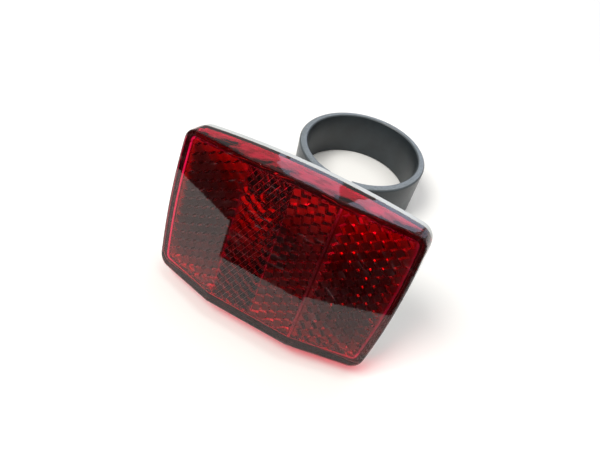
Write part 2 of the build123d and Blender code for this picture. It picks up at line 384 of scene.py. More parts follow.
@dataclass(frozen=True)
class ZincSteel:
    """Zinc plated steel, barrel plated after cold heading: bright, faintly mottled and blue-grey.

    The mottle of such plating is about 0.1 mm. It is drawn ten times as coarse, so that it shows.
    """

    name: str = "zinc_steel"
    bright: str = "#c9ccd0"
    dull: str = "#9b9f9a"
    mottle_size: float = 1.11 * MM
    mottle_height: float = 0.05 * MM

    def build(self) -> Finish:
        """Make the material.

        Returns:
            A metal with a fine mottle of colour and roughness.
        """
        material, tree, output = blank_material(self.name)
        place = add_node(tree, "TexCoord").outputs["Object"]
        mottle = noise(tree, place, self.mottle_size, 5.0)
        bump = add_node(tree, "Bump", Height=mottle, Strength=0.08, Distance=self.mottle_height)
        shader = add_node(
            tree,
            "BsdfPrincipled",
            Base_Color=blend(tree, mottle, linear(self.bright), linear(self.dull)),
            Metallic=1.0,
            Roughness=remap(tree, mottle, target=(0.2, 0.42)),
            Normal=bump.outputs["Normal"],
        )
        tree.links.new(shader.outputs["BSDF"], output.inputs["Surface"])
        return material


# The pins' acrylic: clean, softer at its edges, and all lamp light goes through to the glow below
PRISM_ACRYLIC = ClearAcrylic(
    "red_acrylic_prisms", lamp_share=1.0, haze=0.0, scratch=0.0, edge_round=0.14 * MM
)
# Light grey ABS, moulded with a fine satin grain: even and soft, with no dust that shows
GREY_ABS = MouldedPlastic("grey_abs", "#c3c6c5", "#d2d4d3", 0.4, 0.12 * MM, 0.25)
# Black nylon, moulded: blue-grey sheen on a coarser grain, pale on top with dust and painted sheen
BLACK_NYLON = MouldedPlastic("black_nylon", "#1c2327", "#3f494f", 0.33, 0.22 * MM, 0.7, dust=0.85)
# Dark seam bead: painted shade in the groove and under the walls, a little red through the lens
SEAM_SHADE_PAINT = MouldedPlastic("painted_seam_shade", "#2c1719", "#341d1f", 0.35, 0.2 * MM, 0.2)


def solid_mesh(name: str, points: np.ndarray, faces: Faces) -> Piece:
    """Make a mesh object, with its doubles merged and its faces turned outwards.

    Args:
        name: The object's name.
        points: Corners, one row each.
        faces: Corner numbers of each face.

    Returns:
        The new object, not yet in the scene.
    """
    mesh = bpy.data.meshes.new(name)
    mesh.from_pydata(points.tolist(), [], faces)
    with editing(mesh) as form:
        bmesh.ops.remove_doubles(form, verts=form.verts, dist=WELD)
        bmesh.ops.recalc_face_normals(form, faces=form.faces)
    return bpy.data.objects.new(name, mesh)


def tube(
    name: str, rings: list | np.ndarray, place: Matrix = Matrix(), hollow: bool = False
) -> Piece:
    """Join closed rings of equal length into a solid with flat ends.

    Face k of ring r joins points k and k + 1 of ring r to the same points of ring r + 1.

    Args:
        name: The solid's name.
        rings: Points as rings by points by three.
        place: Where the rings' own plane lies.
        hollow: Join the last ring to the first in place of the flat ends.

    Returns:
        The solid.
    """
    rings = carry(np.array(rings), place)
    count, around = rings.shape[:2]
    number = np.arange(count * around).reshape(count, around)
    if hollow:
        number = np.concatenate([number, number[:1]])
    beside = np.roll(number, -1, axis=1)
    walls = np.stack([number[:-1], beside[:-1], beside[1:], number[1:]], axis=-1)
    faces = walls.reshape(-1, 4).tolist()
    if not hollow:
        faces += [number[0][::-1].tolist(), number[-1].tolist()]
    return solid_mesh(name, rings.reshape(-1, 3), [tuple(face) for face in faces])


def carry(points: np.ndarray, place: Matrix) -> np.ndarray:
    """Turn and move points, each by the matrix times the point, whatever the array's shape."""
    return points @ np.array(place.to_3x3()).T + np.array(place.translation)


def mesh_points(source: Piece) -> np.ndarray:
    """Read the corners of an object's mesh.

    Args:
        source: The object.

    Returns:
        Its corners, one row each.
    """
    flat = np.empty(len(source.data.vertices) * 3)
    source.data.vertices.foreach_get("co", flat)
    return flat.reshape(-1, 3)


def link(piece: Piece) -> None:
    """Put a new object into the scene, if it isn't there yet."""
    if piece.name not in bpy.context.scene.collection.objects:
        bpy.context.scene.collection.objects.link(piece)


class Joining(Enum):
    """How two closed meshes are put together."""

    ADD = "UNION"
    CUT = "DIFFERENCE"
    CROSS = "INTERSECT"


def combine(first: Piece, second: Piece, how: Joining) -> Piece:
    """Join, cut or cross two closed meshes, and leave the result in the first.

    Args:
        first: The mesh that is changed.
        second: The mesh it is changed by, which is then removed.
        how: Which part of the two is left.

    Returns:
        The first object.
    """
    link(first)
    link(second)
    step = first.modifiers.new("join", "BOOLEAN")
    step.operation = how.value
    step.solver = "EXACT"
    step.object = second
    graph = bpy.context.evaluated_depsgraph_get()
    mesh = bpy.data.meshes.new_from_object(first.evaluated_get(graph))
    first.modifiers.clear()
    old = first.data
    first.data = mesh
    bpy.data.meshes.remove(old)
    bpy.data.meshes.remove(second.data)
    return first


@dataclass(frozen=True)
class PrismZone:
    """One block of hexagonal pins with cube-corner ends on the inner side of one front panel.

    The pins stand in upright columns. In the wings their axes lean outwards, so that the lens also
    sends back light that comes from the side, and each column stands a step below its neighbour.
    """

    name: str
    left: float
    right: float
    sweep: float
    lean: float
    flipped: bool
    pitch: float = 2.03 * MM
    root: float = 0.35 * MM
    # Levels nearer to each other than this are one level
    level_touch: float = 1e-6 * MM

    def build(self, place: Matrix, depth: float, fold: float, low: float, high: float) -> Piece:
        """Make the block as one closed mesh, with its faces in the second material.

        Args:
            place: From the reflector's own plane to the world.
            depth: How far the panel's inner face lies in front of the seam, at the fold.
            fold: Distance of the panel's fold from the middle.
            low: Lowest point of the block along the panel.
            high: Highest point of the block along the panel.

        Returns:
            The block, with its root inside the panel.
        """
        side = math.copysign(1.0, self.left + self.right)
        lean = side * self.lean
        middle = (self.left + self.right) / 2
        half_width = (self.right - self.left) / 2 / math.cos(self.sweep)
        corner, peak = self._lattice(half_width, (high - low) / 2, lean)
        points, faces = self._close(corner, peak, lean)
        c, s = math.cos(lean), math.sin(lean)
        upright = points @ np.array([[c, 0, s], [0, 1, 0], [-s, 0, c]])
        inner = depth - math.tan(self.sweep) * max(abs(middle) - fold, 0.0)
        x_way = np.array([math.cos(self.sweep), 0, -side * math.sin(self.sweep)])
        z_way = np.array([-side * math.sin(self.sweep), 0, -math.cos(self.sweep)])
        y_way = np.cross(z_way, x_way)
        local = np.array([middle, (low + high) / 2, inner])
        local = local + upright @ np.stack([x_way, y_way, z_way])
        block = solid_mesh(self.name, carry(local, place), faces)
        count = len(block.data.polygons)
        block.data.polygons.foreach_set("material_index", np.ones(count, int))
        return block

    def _lattice(
        self, half_width: float, half_height: float, lean: float
    ) -> tuple[np.ndarray, np.ndarray]:
        """Work out where every pin stands.

        A pin's end has its peak at twice a level above the low corners, with level equal to pitch
        over the root of six, and its corners lie in turn at no level and at one level. Neighbours
        in a column meet edge to edge. A column that lies s further out along the panel is sunk by
        s times the tangent of the lean.

        Args:
            half_width: Half the block's width along the panel.
            half_height: Half the block's height.
            lean: Lean of the pins to the right.

        Returns:
            Corners as pins by six by three, and peaks as pins by three.
        """
        level, reach = self.pitch / math.sqrt(6), self.pitch / math.sqrt(3)
        step, slope = self.pitch * math.sqrt(3) / 2, math.tan(lean)
        columns = math.ceil(half_width * math.cos(lean) / step) + 1
        rows = math.ceil(half_height / self.pitch) + 1
        column, row = np.mgrid[-columns : columns + 1, -rows : rows + 1]
        across = (column * step).ravel()
        along = ((row + 0.5 * (column % 2)) * self.pitch).ravel()
        sunk = reach * abs(slope) - across * slope
        turn = np.radians(60.0 * np.arange(6)) + (math.pi if self.flipped else 0.0)
        corner = np.stack(
            [
                across[:, None] + reach * np.cos(turn),
                along[:, None] + reach * np.sin(turn),
                sunk[:, None] + level * (np.arange(6) % 2),
            ],
            axis=-1,
        )
        return corner, np.stack([across, along, sunk + 2 * level], axis=-1)

    def _close(self, corner: np.ndarray, peak: np.ndarray, lean: float) -> tuple[np.ndarray, Faces]:
        """Close the pins' ends with walls between them, a rim and a flat foot.

        Edge k of a pin runs from corner k to corner k + 1, and a neighbour's edge runs the other
        way between the same two spots. Two such edges at one height need no wall, and at two
        heights one upright face joins them. An edge with no neighbour is part of the rim, and a
        face joins it to the foot. Where the rim steps, the low corner lies on the high face's side.

        Args:
            corner: Corners as pins by six by three.
            peak: Peaks as pins by three.
            lean: Lean of the pins to the right.

        Returns:
            The points and the faces.
        """
        first = 6 * np.arange(len(peak))
        start = np.arange(6 * len(peak))
        end = start - start % 6 + (start + 1) % 6
        flat = corner.reshape(-1, 3)
        height = flat[:, 2]
        cell = np.array([self.pitch / math.sqrt(3), self.pitch]) / 2
        spot = np.unique(np.rint(flat[:, :2] / cell), axis=0, return_inverse=True)[1].ravel()
        there = spot[start] * len(start) + spot[end]
        back = spot[end] * len(start) + spot[start]
        order = np.argsort(there)
        twin = order[np.searchsorted(there[order], back).clip(max=len(start) - 1)]
        paired = there[twin] == back
        apart = np.abs(height[start[twin]] - height[end]) > self.level_touch
        wall = start[paired & apart & (twin < start)]
        quads = [np.stack([wall, end[twin[wall]], twin[wall], end[wall]], axis=-1)]
        for k in (1, 3, 5):
            around = [first + (k + n) % 6 for n in range(3)]
            quads.append(np.stack([len(flat) + first // 6, *around], axis=-1))
        faces = [tuple(quad) for quad in np.concatenate(quads).tolist()]
        a, b = self._rim(start[~paired], end[~paired], spot)
        foot = len(flat) + len(peak) + np.arange(len(a))
        before, after = np.roll(b, 1), np.roll(a, -1)
        rows = [
            a,
            np.where(height[before] < height[a] - self.level_touch, before, a),
            foot,
            np.roll(foot, -1),
            np.where(height[after] < height[b] - self.level_touch, after, b),
            b,
        ]
        faces += [tuple(dict.fromkeys(row)) for row in np.stack(rows, axis=-1).tolist()]
        faces.append(tuple(foot[::-1].tolist()))
        ground = -flat[a, 0] * math.tan(lean) - self.root / math.cos(lean)
        return np.concatenate([flat, peak, np.c_[flat[a, :2], ground]]), faces

    @staticmethod
    def _rim(start: np.ndarray, end: np.ndarray, spot: np.ndarray) -> tuple[np.ndarray, np.ndarray]:
        """Put the rim's edges in order, each starting at the spot where the one before it ends.

        Args:
            start: Corner at which each edge of the rim starts.
            end: Corner at which it ends.
            spot: The number of the spot where each corner stands.

        Returns:
            The starts and the ends in order around the rim.
        """
        leaving = dict(zip(spot[start].tolist(), range(len(start))))
        chain = [0]
        while (edge := leaving[int(spot[end[chain[-1]]])]) != 0:
            chain.append(edge)
        return start[chain], end[chain]


@dataclass(frozen=True)
class Side:
    """One side of the lens outline, moved inwards: a straight line, or an arc with a radius."""

    point: np.ndarray
    normal: np.ndarray
    centre: np.ndarray | None = None
    radius: float = 0.0

    @classmethod
    def between(cls, start: Pair, end: Pair, rise: float, shrink: float) -> "Side":
        """Lay a side between two corners, counter-clockwise, and move it inwards.

        An arc of a chord and a rise has the radius (chord squared over 4 plus rise squared) over
        twice the rise. Its centre lies behind the middle of the chord by the radius less the rise.

        Args:
            start: The corner where the side starts.
            end: The corner where it ends.
            rise: How far the side bows outwards, or 0 for a straight one.
            shrink: How far it moves inwards.

        Returns:
            The side.
        """
        a, b = np.array(start), np.array(end)
        run = b - a
        length = np.linalg.norm(run)
        outward = np.array([run[1], -run[0]]) / length
        if not rise:
            return cls(a - outward * shrink, outward)
        radius = (length**2 / 4 + rise**2) / (2 * rise)
        centre = (a + b) / 2 - outward * (radius - rise)
        return cls(a, outward, centre, radius - shrink)

    def nearest(self, spot: np.ndarray) -> np.ndarray:
        """Nearest place on the side: down its normal, or along the ray from its centre.

        Args:
            spot: Any place, or several, one row each.

        Returns:
            The place or places on the side.
        """
        if not self.radius:
            return spot - self.normal * ((spot - self.point) @ self.normal)
        way = spot - self.centre
        return self.centre + way / np.linalg.norm(way, axis=-1, keepdims=True) * self.radius

    def ways(self, run: np.ndarray) -> np.ndarray:
        """Outward normals at places on the side.

        Args:
            run: The places, one row each.

        Returns:
            Their normals, one row each.
        """
        if not self.radius:
            return np.repeat(self.normal[None], len(run), axis=0)
        return (run - self.centre) / self.radius


@dataclass
class Lens:
    """The red cap: drafted walls, three front panels, a rounded front edge and four prism blocks."""

    tilt: float = math.radians(21.0)
    top_half_width: float = 25.7 * MM
    side_half_width: float = 24.5 * MM
    top_arch: float = 1.6 * MM
    side_height: float = 31.9 * MM
    side_bulge: float = 0.95 * MM
    full_height: float = 32.8 * MM
    fold: float = 9.45 * MM
    corner_radius: float = 3.1 * MM
    depth: float = 7.9 * MM
    wall: float = 1.6 * MM
    border: float = 0.75 * MM
    draft: float = math.radians(5.5)
    sweep: float = math.radians(14.0)
    wing_lean: float = math.radians(30.0)
    fold_gap: float = 0.14 * MM
    edge_round: float = 0.42 * MM
    edge_segments: int = 3
    smooth_below: float = 20.0
    arc_points: int = 24
    corner_points: int = 10
    meeting_steps: int = 200
    # The bead lifts the lens off the plate, and its tongue fills the plate's groove
    bead_height: float = 0.06 * MM
    bead_tongue: float = 0.37 * MM
    bead_groove: float = 0.49 * MM
    bead_short: float = 0.02 * MM
    # How far blocks that cut or cross the lens run past it
    beyond: float = 2.0 * MM

    def build(self, place: Matrix) -> list[Piece]:
        """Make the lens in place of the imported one, and the bead in its seam.

        Args:
            place: From the reflector's own plane to the world.

        Returns:
            The lens and the bead.
        """
        lens = self._block(place, 0.0, "lens_cap")
        dress(lens, ClearAcrylic().build())
        lens.data.materials.append(PRISM_ACRYLIC.build())
        lens = combine(lens, self._block(place, self.wall, "cavity"), Joining.CUT)
        inner = self.depth - self.wall
        fold = self.fold - self.wall * math.tan(self.sweep / 2)
        wide = self.top_half_width + self.side_bulge
        for side, name in ((-1, "left"), (1, "right")):
            near, far = side * (fold - self.fold_gap), side * (fold + self.fold_gap)
            middle, wing = sorted((0.0, near)), sorted((far, side * wide))
            for zone in (
                PrismZone(f"{name}_middle", *middle, 0.0, 0.0, side < 0),
                PrismZone(f"{name}_wing", *wing, self.sweep, self.wing_lean, side < 0),
            ):
                pins = zone.build(place, inner, fold, -self.full_height, self.top_arch)
                trim = self._zone_trim(place, zone.left, zone.right)
                lens = combine(lens, combine(pins, trim, Joining.CROSS), Joining.ADD)
        self._round_front(lens.data, place)
        shade(lens.data, self.smooth_below)
        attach(lens, "reflector")
        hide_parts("lens")
        return [lens, self._build_bead(place)]

    def _build_bead(self, place: Matrix) -> Piece:
        """Dark bead under the walls' foot and down in the seam's groove: painted shade there.

        Its profile is a list of insets and heights that is carried once round the outline.

        Args:
            place: From the reflector's own plane to the world.

        Returns:
            The bead.
        """
        top, low, groove = self.bead_height, -self.bead_tongue, self.bead_groove
        inside = self.wall - self.bead_short
        profile = [(top, top), (inside, top), (inside, 0.0), (groove, 0.0), (groove, low)]
        profile += [(2 * top, low), (top, 0.0)]
        rings = [self._ring(inset, height) for inset, height in profile]
        bead = tube("seam_bead", rings, place, hollow=True)
        link(bead)
        dress(bead, SEAM_SHADE_PAINT.build())
        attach(bead, "reflector")
        return bead

    def plane(self, source: Piece) -> Matrix:
        """Find the reflector's own plane: X across, Y up along the seam, Z out through the front.

        Its origin is where the seam meets the middle of the top edge before the arch. The packed
        lens reaches from the seam along Z and up to the top of the arch along Y.

        Args:
            source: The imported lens.

        Returns:
            From the reflector's own plane to the world.
        """
        up = Vector((0, math.sin(self.tilt), math.cos(self.tilt)))
        out = Vector((0, -math.cos(self.tilt), math.sin(self.tilt)))
        points = mesh_points(source)
        top = (points @ np.array(up)).max() - self.top_arch
        back = (points @ np.array(out)).min()
        turn = Matrix((Vector((1, 0, 0)), up, out)).transposed().to_4x4()
        return Matrix.Translation(up * top + out * back) @ turn

    def _outline(self, inset: float) -> np.ndarray:
        """Outline of the lens, moved inwards by an inset.

        The sharp outline is first shrunk by the corner radius. Every point of it then moves back
        out by the radius less the inset along its side's normal, and an arc fills each corner.

        Args:
            inset: How far the outline moves inwards.

        Returns:
            One closed ring of points, counter-clockwise from the upper right corner.
        """
        top, foot = self.top_half_width, self.side_half_width
        ring = [(top, 0.0), (-top, 0.0), (-foot, -self.side_height)]
        ring += [(-self.fold, -self.full_height), (self.fold, -self.full_height)]
        ring += [(foot, -self.side_height)]
        rises = [self.top_arch, self.side_bulge, 0.0, 0.0, 0.0, self.side_bulge]
        ends = zip(ring, ring[1:] + ring[:1], rises)
        sides = [Side.between(*pair, rise, self.corner_radius) for *pair, rise in ends]
        meets = [self._meet(sides[n - 1], sides[n]) for n in range(len(sides))]
        runs, ways = [], []
        for n, side in enumerate(sides):
            t = np.linspace(0, 1, self.arc_points if side.radius else 2)[:, None]
            chord = meets[n] + (meets[(n + 1) % len(sides)] - meets[n]) * t
            runs.append(side.nearest(chord) if side.radius else chord)
            ways.append(side.ways(runs[-1]))
        points, growth = [], self.corner_radius - inset
        for n, (run, way) in enumerate(zip(runs, ways)):
            start, end = (math.atan2(w[1], w[0]) for w in (ways[n - 1][-1], way[0]))
            end += math.tau if end < start else 0.0
            angle = np.linspace(start, end, self.corner_points)[1:-1]
            arc = np.stack([np.cos(angle), np.sin(angle)], axis=-1)
            points += [run[0] + arc * growth, run + way * growth]
        return np.concatenate(points)

    def _meet(self, first: Side, second: Side) -> np.ndarray:
        """Corner where two sides meet, found by moving a point onto each in turn until it rests.

        Args:
            first: One side.
            second: The side after it.

        Returns:
            The corner.
        """
        spot = second.point
        for _ in range(self.meeting_steps):
            spot = second.nearest(first.nearest(spot))
        return spot

    def _block(self, place: Matrix, setback: float, name: str) -> Piece:
        """Drafted block inside the outline, closed by the three front panels.

        Args:
            place: From the reflector's own plane to the world.
            setback: How far walls and panels move inwards. The cavity then runs out at the seam.
            name: The block's name.

        Returns:
            The block.
        """
        below = -self.beyond if setback else self.bead_height
        heights = (below, self.depth + self.beyond)
        rings = [self._ring(setback + h * math.tan(self.draft), h) for h in heights]
        block = tube(name, rings, place)
        wide = self.top_half_width + self.side_bulge + self.beyond
        crest = self.depth - setback
        fold = self.fold - setback * math.tan(self.sweep / 2)
        edge = crest - math.tan(self.sweep) * (wide - fold)
        section = [(-wide, -MM), (wide, -MM), (wide, edge)]
        section += [(fold, crest), (-fold, crest), (-wide, edge)]
        reach = (-self.full_height - self.beyond, self.top_arch + self.beyond)
        front = [[(x, y, z) for x, z in section] for y in reach]
        return combine(block, tube("front_panels", front, place), Joining.CROSS)

    def _zone_trim(self, place: Matrix, left: float, right: float) -> Piece:
        """Upright prism inside the border and between two planes across the lens.

        Args:
            place: From the reflector's own plane to the world.
            left: Place of the left plane.
            right: Place of the right plane.

        Returns:
            The prism, to which a block of pins is cut.
        """
        rings = [self._ring(self.wall + self.border, h) for h in (0.0, self.depth)]
        low, high = -self.full_height - self.beyond, self.top_arch + self.beyond
        behind, ahead = -self.beyond, self.depth + self.beyond
        section = [(low, behind), (high, behind), (high, ahead), (low, ahead)]
        strip = [[(x, y, z) for y, z in section] for x in (left, right)]
        trim = tube("zone_trim", rings, place)
        return combine(trim, tube("zone_strip", strip, place), Joining.CROSS)

    def _ring(self, inset: float, height: float) -> np.ndarray:
        """The outline with an inset, at a height above the seam."""
        ring = self._outline(inset)
        return np.c_[ring, np.full(len(ring), height)]

    def _round_front(self, mesh: bpy.types.Mesh, place: Matrix) -> None:
        """Round the edge where the outer walls meet the front panels, and leave clean closed faces.

        Args:
            mesh: The mesh of the lens.
            place: From the reflector's own plane to the world.
        """
        wall_faces, front_faces = (-0.3, 0.6), 0.9
        out = place.to_3x3() @ Vector((0, 0, 1))
        with editing(mesh) as form:
            bmesh.ops.remove_doubles(form, verts=form.verts, dist=WELD)
            bmesh.ops.dissolve_degenerate(form, edges=form.edges, dist=WELD)
            form.normal_update()
            rim = []
            for edge in form.edges:
                leans = sorted(face.normal.dot(out) for face in edge.link_faces)
                if len(leans) != 2:
                    continue
                if wall_faces[0] < leans[0] < wall_faces[1] and leans[1] > front_faces:
                    rim.append(edge)
            LOG.info("lens: %d edges of the front to round", len(rim))
            bmesh.ops.bevel(
                form,
                geom=rim,
                offset=self.edge_round,
                segments=self.edge_segments,
                profile=0.5,
                affect="EDGES",
            )
            bmesh.ops.recalc_face_normals(form, faces=form.faces)


@dataclass(frozen=True)
class Fastener:
    """A threaded pin with a head: the thread is rolled and the head is cold formed.

    The head is a list of radius and height pairs above its seat. The shank runs down from the seat.
    """

    node: str
    body: str
    shank: float
    head: tuple[Pair, ...]
    square: float = 0.0
    cross: bool = False
    radius: float = 2.5 * MM
    pitch: float = 0.8 * MM
    plain: float = 1.0 * MM
    around: int = 48
    per_pitch: int = 10
    # Shares of half a pitch that the crest and the flank take, and the depth as a share of a pitch
    crest: float = 0.12
    flank: float = 0.72
    thread_depth: float = 0.61
    # Half length and half width of the cross recess at its floor and above its mouth
    slot_floor: Pair = (1.1 * MM, 0.38 * MM)
    slot_mouth: Pair = (2.7 * MM, 0.66 * MM)
    slot_depth: float = 1.8 * MM
    slot_above: float = 0.2 * MM
    neck_overlap: float = 0.1 * MM
    smooth_below: float = 35.0

    def build(self, finish: Finish, seat: Matrix) -> Piece:
        """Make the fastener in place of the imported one.

        A point of the thread at height z and angle t lies at the outer radius less the thread's
        depth times a flat-topped wave of z over pitch less t over a full turn. The depth fades in
        over the first turn at the tip and fades out below the plain part under the seat.

        Args:
            finish: The fastener's material.
            seat: Place of the middle of the seat under the head, with Z towards the head.

        Returns:
            The fastener.
        """
        count = math.ceil((self.shank - self.plain) / self.pitch * self.per_pitch)
        z = np.linspace(-self.shank, -self.plain, count)[:, None]
        t = np.linspace(0, math.tau, self.around, endpoint=False)[None]
        wave = np.abs((z / self.pitch - t / math.tau) % 1.0 * 2 - 1)
        cut = np.clip((wave - self.crest) / self.flank, 0, 1)
        tip = np.clip((z + self.shank) / self.pitch, 0, 1)
        root = np.clip((-self.plain - z) / self.pitch, 0, 1)
        depth = self.thread_depth * self.pitch
        reach = self.radius - depth * cut * root - depth * (1 - tip)
        thread = np.stack([reach * np.cos(t), reach * np.sin(t), z + 0 * t], axis=-1)
        radius, height = np.array([(self.radius, 0.0), *self.head]).T[:, :, None]
        head = np.stack([radius * np.cos(t), radius * np.sin(t), height + 0 * t], axis=-1)
        pin = tube(f"{self.node}_turned", np.concatenate([thread, head]))
        if self.square:
            pin = combine(pin, self._neck(), Joining.ADD)
        if self.cross:
            for turn in (0.0, math.pi / 2):
                pin = combine(pin, self._slot(turn), Joining.CUT)
        pin.data.transform(seat)
        shade(pin.data, self.smooth_below)
        dress(pin, finish)
        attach(pin, self.body)
        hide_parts(self.node)
        return pin

    def _neck(self) -> Piece:
        """Square neck under the head, which keeps a stud from turning.

        Returns:
            The neck.
        """
        half = self.square / 2
        flat = [(half, half), (-half, half), (-half, -half), (half, -half)]
        rings = [[(x, y, z) for x, y in flat] for z in (-self.plain, self.neck_overlap)]
        return tube("square_neck", rings)

    def _slot(self, turn: float) -> Piece:
        """One arm pair of the cross recess: wide at the crown and drawn in towards its floor.

        Args:
            turn: Turn of the pair about the fastener's axis.

        Returns:
            The block that cuts the recess.
        """
        crown = self.head[-1][1]
        floor = (*self.slot_floor, crown - self.slot_depth)
        mouth = (*self.slot_mouth, crown + self.slot_above)
        rings = [
            [(long, wide, z), (-long, wide, z), (-long, -wide, z), (long, -wide, z)]
            for long, wide, z in (floor, mouth)
        ]
        return tube("cross_slot", rings, Matrix.Rotation(turn, 4, "Z"))


@dataclass(frozen=True)
class SoftEdges:
    """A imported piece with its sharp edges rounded, as a worn or polished mould leaves them.

    Edges within skip_reach of the place skip_near stay as they are.
    """

    node: str
    body: str
    slot: str
    radius: float
    segments: int = 2
    sharp: float = 25.0
    skip_near: Point = (0.0, 0.0, 0.0)
    skip_reach: float = 0.0
    flat_within: float = 1.0
    smooth_below: float = 40.0

    def build(self, source: Piece, finish: Finish) -> Piece:
        """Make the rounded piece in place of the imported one.

        Args:
            source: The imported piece.
            finish: Its material.

        Returns:
            The rounded piece.
        """
        mesh = source.data.copy()
        mesh.name = f"{self.node}_soft"
        with editing(mesh) as form:
            bmesh.ops.remove_doubles(form, verts=form.verts, dist=2 * WELD)
            flat = math.radians(self.flat_within)
            bmesh.ops.dissolve_limit(form, angle_limit=flat, verts=form.verts, edges=form.edges)
            bmesh.ops.bevel(
                form,
                geom=[edge for edge in form.edges if self._is_sharp(edge)],
                offset=self.radius,
                segments=self.segments,
                profile=0.5,
                affect="EDGES",
                clamp_overlap=True,
            )
            bmesh.ops.recalc_face_normals(form, faces=form.faces)
        piece = bpy.data.objects.new(f"{self.node}_soft", mesh)
        link(piece)
        shade(mesh, self.smooth_below)
        dress(piece, finish)
        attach(piece, self.body)
        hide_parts(self.node)
        return piece

    def _is_sharp(self, edge: bmesh.types.BMEdge) -> bool:
        """Tell whether an edge turns sharply and lies outside the skipped place.

        Args:
            edge: The edge.

        Returns:
            True if it is to be rounded.
        """
        if len(edge.link_faces) != 2 or edge.calc_face_angle(0.0) < math.radians(self.sharp):
            return False
        middle = (edge.verts[0].co + edge.verts[1].co) / 2
        return (middle - Vector(self.skip_near)).length > self.skip_reach


@dataclass
class BackPlate:
    """The light grey plate behind the lens, with the round sinks that ejector pins leave on it."""

    soft: SoftEdges = SoftEdges("back_plate", "reflector", "back_plate", 0.2 * MM)
    thickness: float = 2.65 * MM
    mark_across: float = 20.5 * MM
    mark_heights: Pair = (-4.5 * MM, -27.5 * MM)
    mark_radius: float = 1.5 * MM
    mark_depth: float = 0.09 * MM
    around: int = 40

    def build(self, source: Piece, place: Matrix, finish: Finish) -> list[Piece]:
        """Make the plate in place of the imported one, and sink the marks into its rear face.

        Each mark is cut by a flat-ended cylinder whose end lies the mark's depth inside the face.

        Args:
            source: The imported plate.
            place: From the reflector's own plane to the world.
            finish: The plate's material.

        Returns:
            The plate.
        """
        plate = self.soft.build(source, finish)
        turn = np.linspace(0, math.tau, self.around, endpoint=False)
        circle = self.mark_radius * np.stack([np.cos(turn), np.sin(turn)], axis=-1)
        heights = (-self.thickness - MM, -self.thickness + self.mark_depth)
        for x in (-self.mark_across, self.mark_across):
            for y in self.mark_heights:
                rings = [np.c_[circle + (x, y), np.full(self.around, h)] for h in heights]
                combine(plate, tube("pin_mark", rings, place), Joining.CUT)
        shade(plate.data, self.soft.smooth_below)
        return [plate]


def build_hardware(name: str, body: str, source: dict[str, Piece], finish: Finish) -> list[Piece]:
    """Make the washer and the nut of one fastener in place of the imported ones.

    Args:
        name: The first word of their nodes' names.
        body: The body that they ride on.
        source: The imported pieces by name.
        finish: Their material.

    Returns:
        The washer and the nut.
    """
    washer = SoftEdges(f"{name}_washer", body, "steel", 0.12 * MM, sharp=60.0)
    nut = SoftEdges(f"{name}_nut", body, "steel", 0.1 * MM, sharp=35.0)
    return [part.build(source[part.node], finish) for part in (washer, nut)]


@dataclass
class TiltArm:
    """The black arm behind the plate, with the stud, the washer and the nut that hold it there.

    Edges near the pivot stay as moulded, because the teeth on the tongue are too fine to round.
    """

    edge_round: float = 0.35 * MM
    tooth_reach: float = 9.4 * MM
    stud_seat: Point = (0.0, -13.597 * MM, -0.85 * MM)
    stud: Fastener = Fastener(
        "mount_stud",
        "reflector",
        12.0 * MM,
        ((4.9 * MM, 0.0), (5.0 * MM, 0.1 * MM), (5.0 * MM, 1.1 * MM), (4.9 * MM, 1.2 * MM)),
        square=5.0 * MM,
    )

    def build(
        self, source: dict[str, Piece], place: Matrix, pivot: Point, plastic: Finish, metal: Finish
    ) -> list[Piece]:
        """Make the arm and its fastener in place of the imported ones.

        Args:
            source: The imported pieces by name.
            place: From the reflector's own plane to the world.
            pivot: Place of the joint, round which the teeth stand.
            plastic: The arm's material.
            metal: The fasteners' material.

        Returns:
            The arm, the washer, the nut and the stud.
        """
        arm = SoftEdges(
            "tilt_arm",
            "reflector",
            "bracket",
            self.edge_round,
            skip_near=pivot,
            skip_reach=self.tooth_reach,
        )
        return [
            arm.build(source["tilt_arm"], plastic),
            *build_hardware("stud", "reflector", source, metal),
            self.stud.build(metal, place @ Matrix.Translation(self.stud_seat)),
        ]


@dataclass
class PostClamp:
    """The black split ring for the seat post, with the cross screw, washer and nut of its ears."""

    ring: SoftEdges = SoftEdges("clamp_ring", "clamp", "bracket", 0.15 * MM)
    screw_seat: float = 8.1 * MM
    screw: Fastener = Fastener(
        "clamp_screw",
        "clamp",
        20 * MM,
        (
            (4.6 * MM, 0.0),
            (4.75 * MM, 0.2 * MM),
            (4.75 * MM, 1.3 * MM),
            (4.55 * MM, 1.9 * MM),
            (4.1 * MM, 2.5 * MM),
            (3.4 * MM, 2.95 * MM),
            (2.3 * MM, 3.25 * MM),
            (1.0 * MM, 3.38 * MM),
        ),
        cross=True,
    )

    def build(
        self, source: dict[str, Piece], pivot: Point, plastic: Finish, metal: Finish
    ) -> list[Piece]:
        """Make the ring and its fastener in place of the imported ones.

        Args:
            source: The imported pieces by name.
            pivot: Place of the joint, where the screw goes across.
            plastic: The ring's material.
            metal: The fasteners' material.

        Returns:
            The ring, the washer, the nut and the screw.
        """
        centre = (self.screw_seat, *pivot[1:])
        seat = Matrix.Translation(centre) @ Matrix.Rotation(math.pi / 2, 4, "Y")
        return [
            self.ring.build(source["clamp_ring"], plastic),
            *build_hardware("clamp", "clamp", source, metal),
            self.screw.build(metal, seat),
        ]


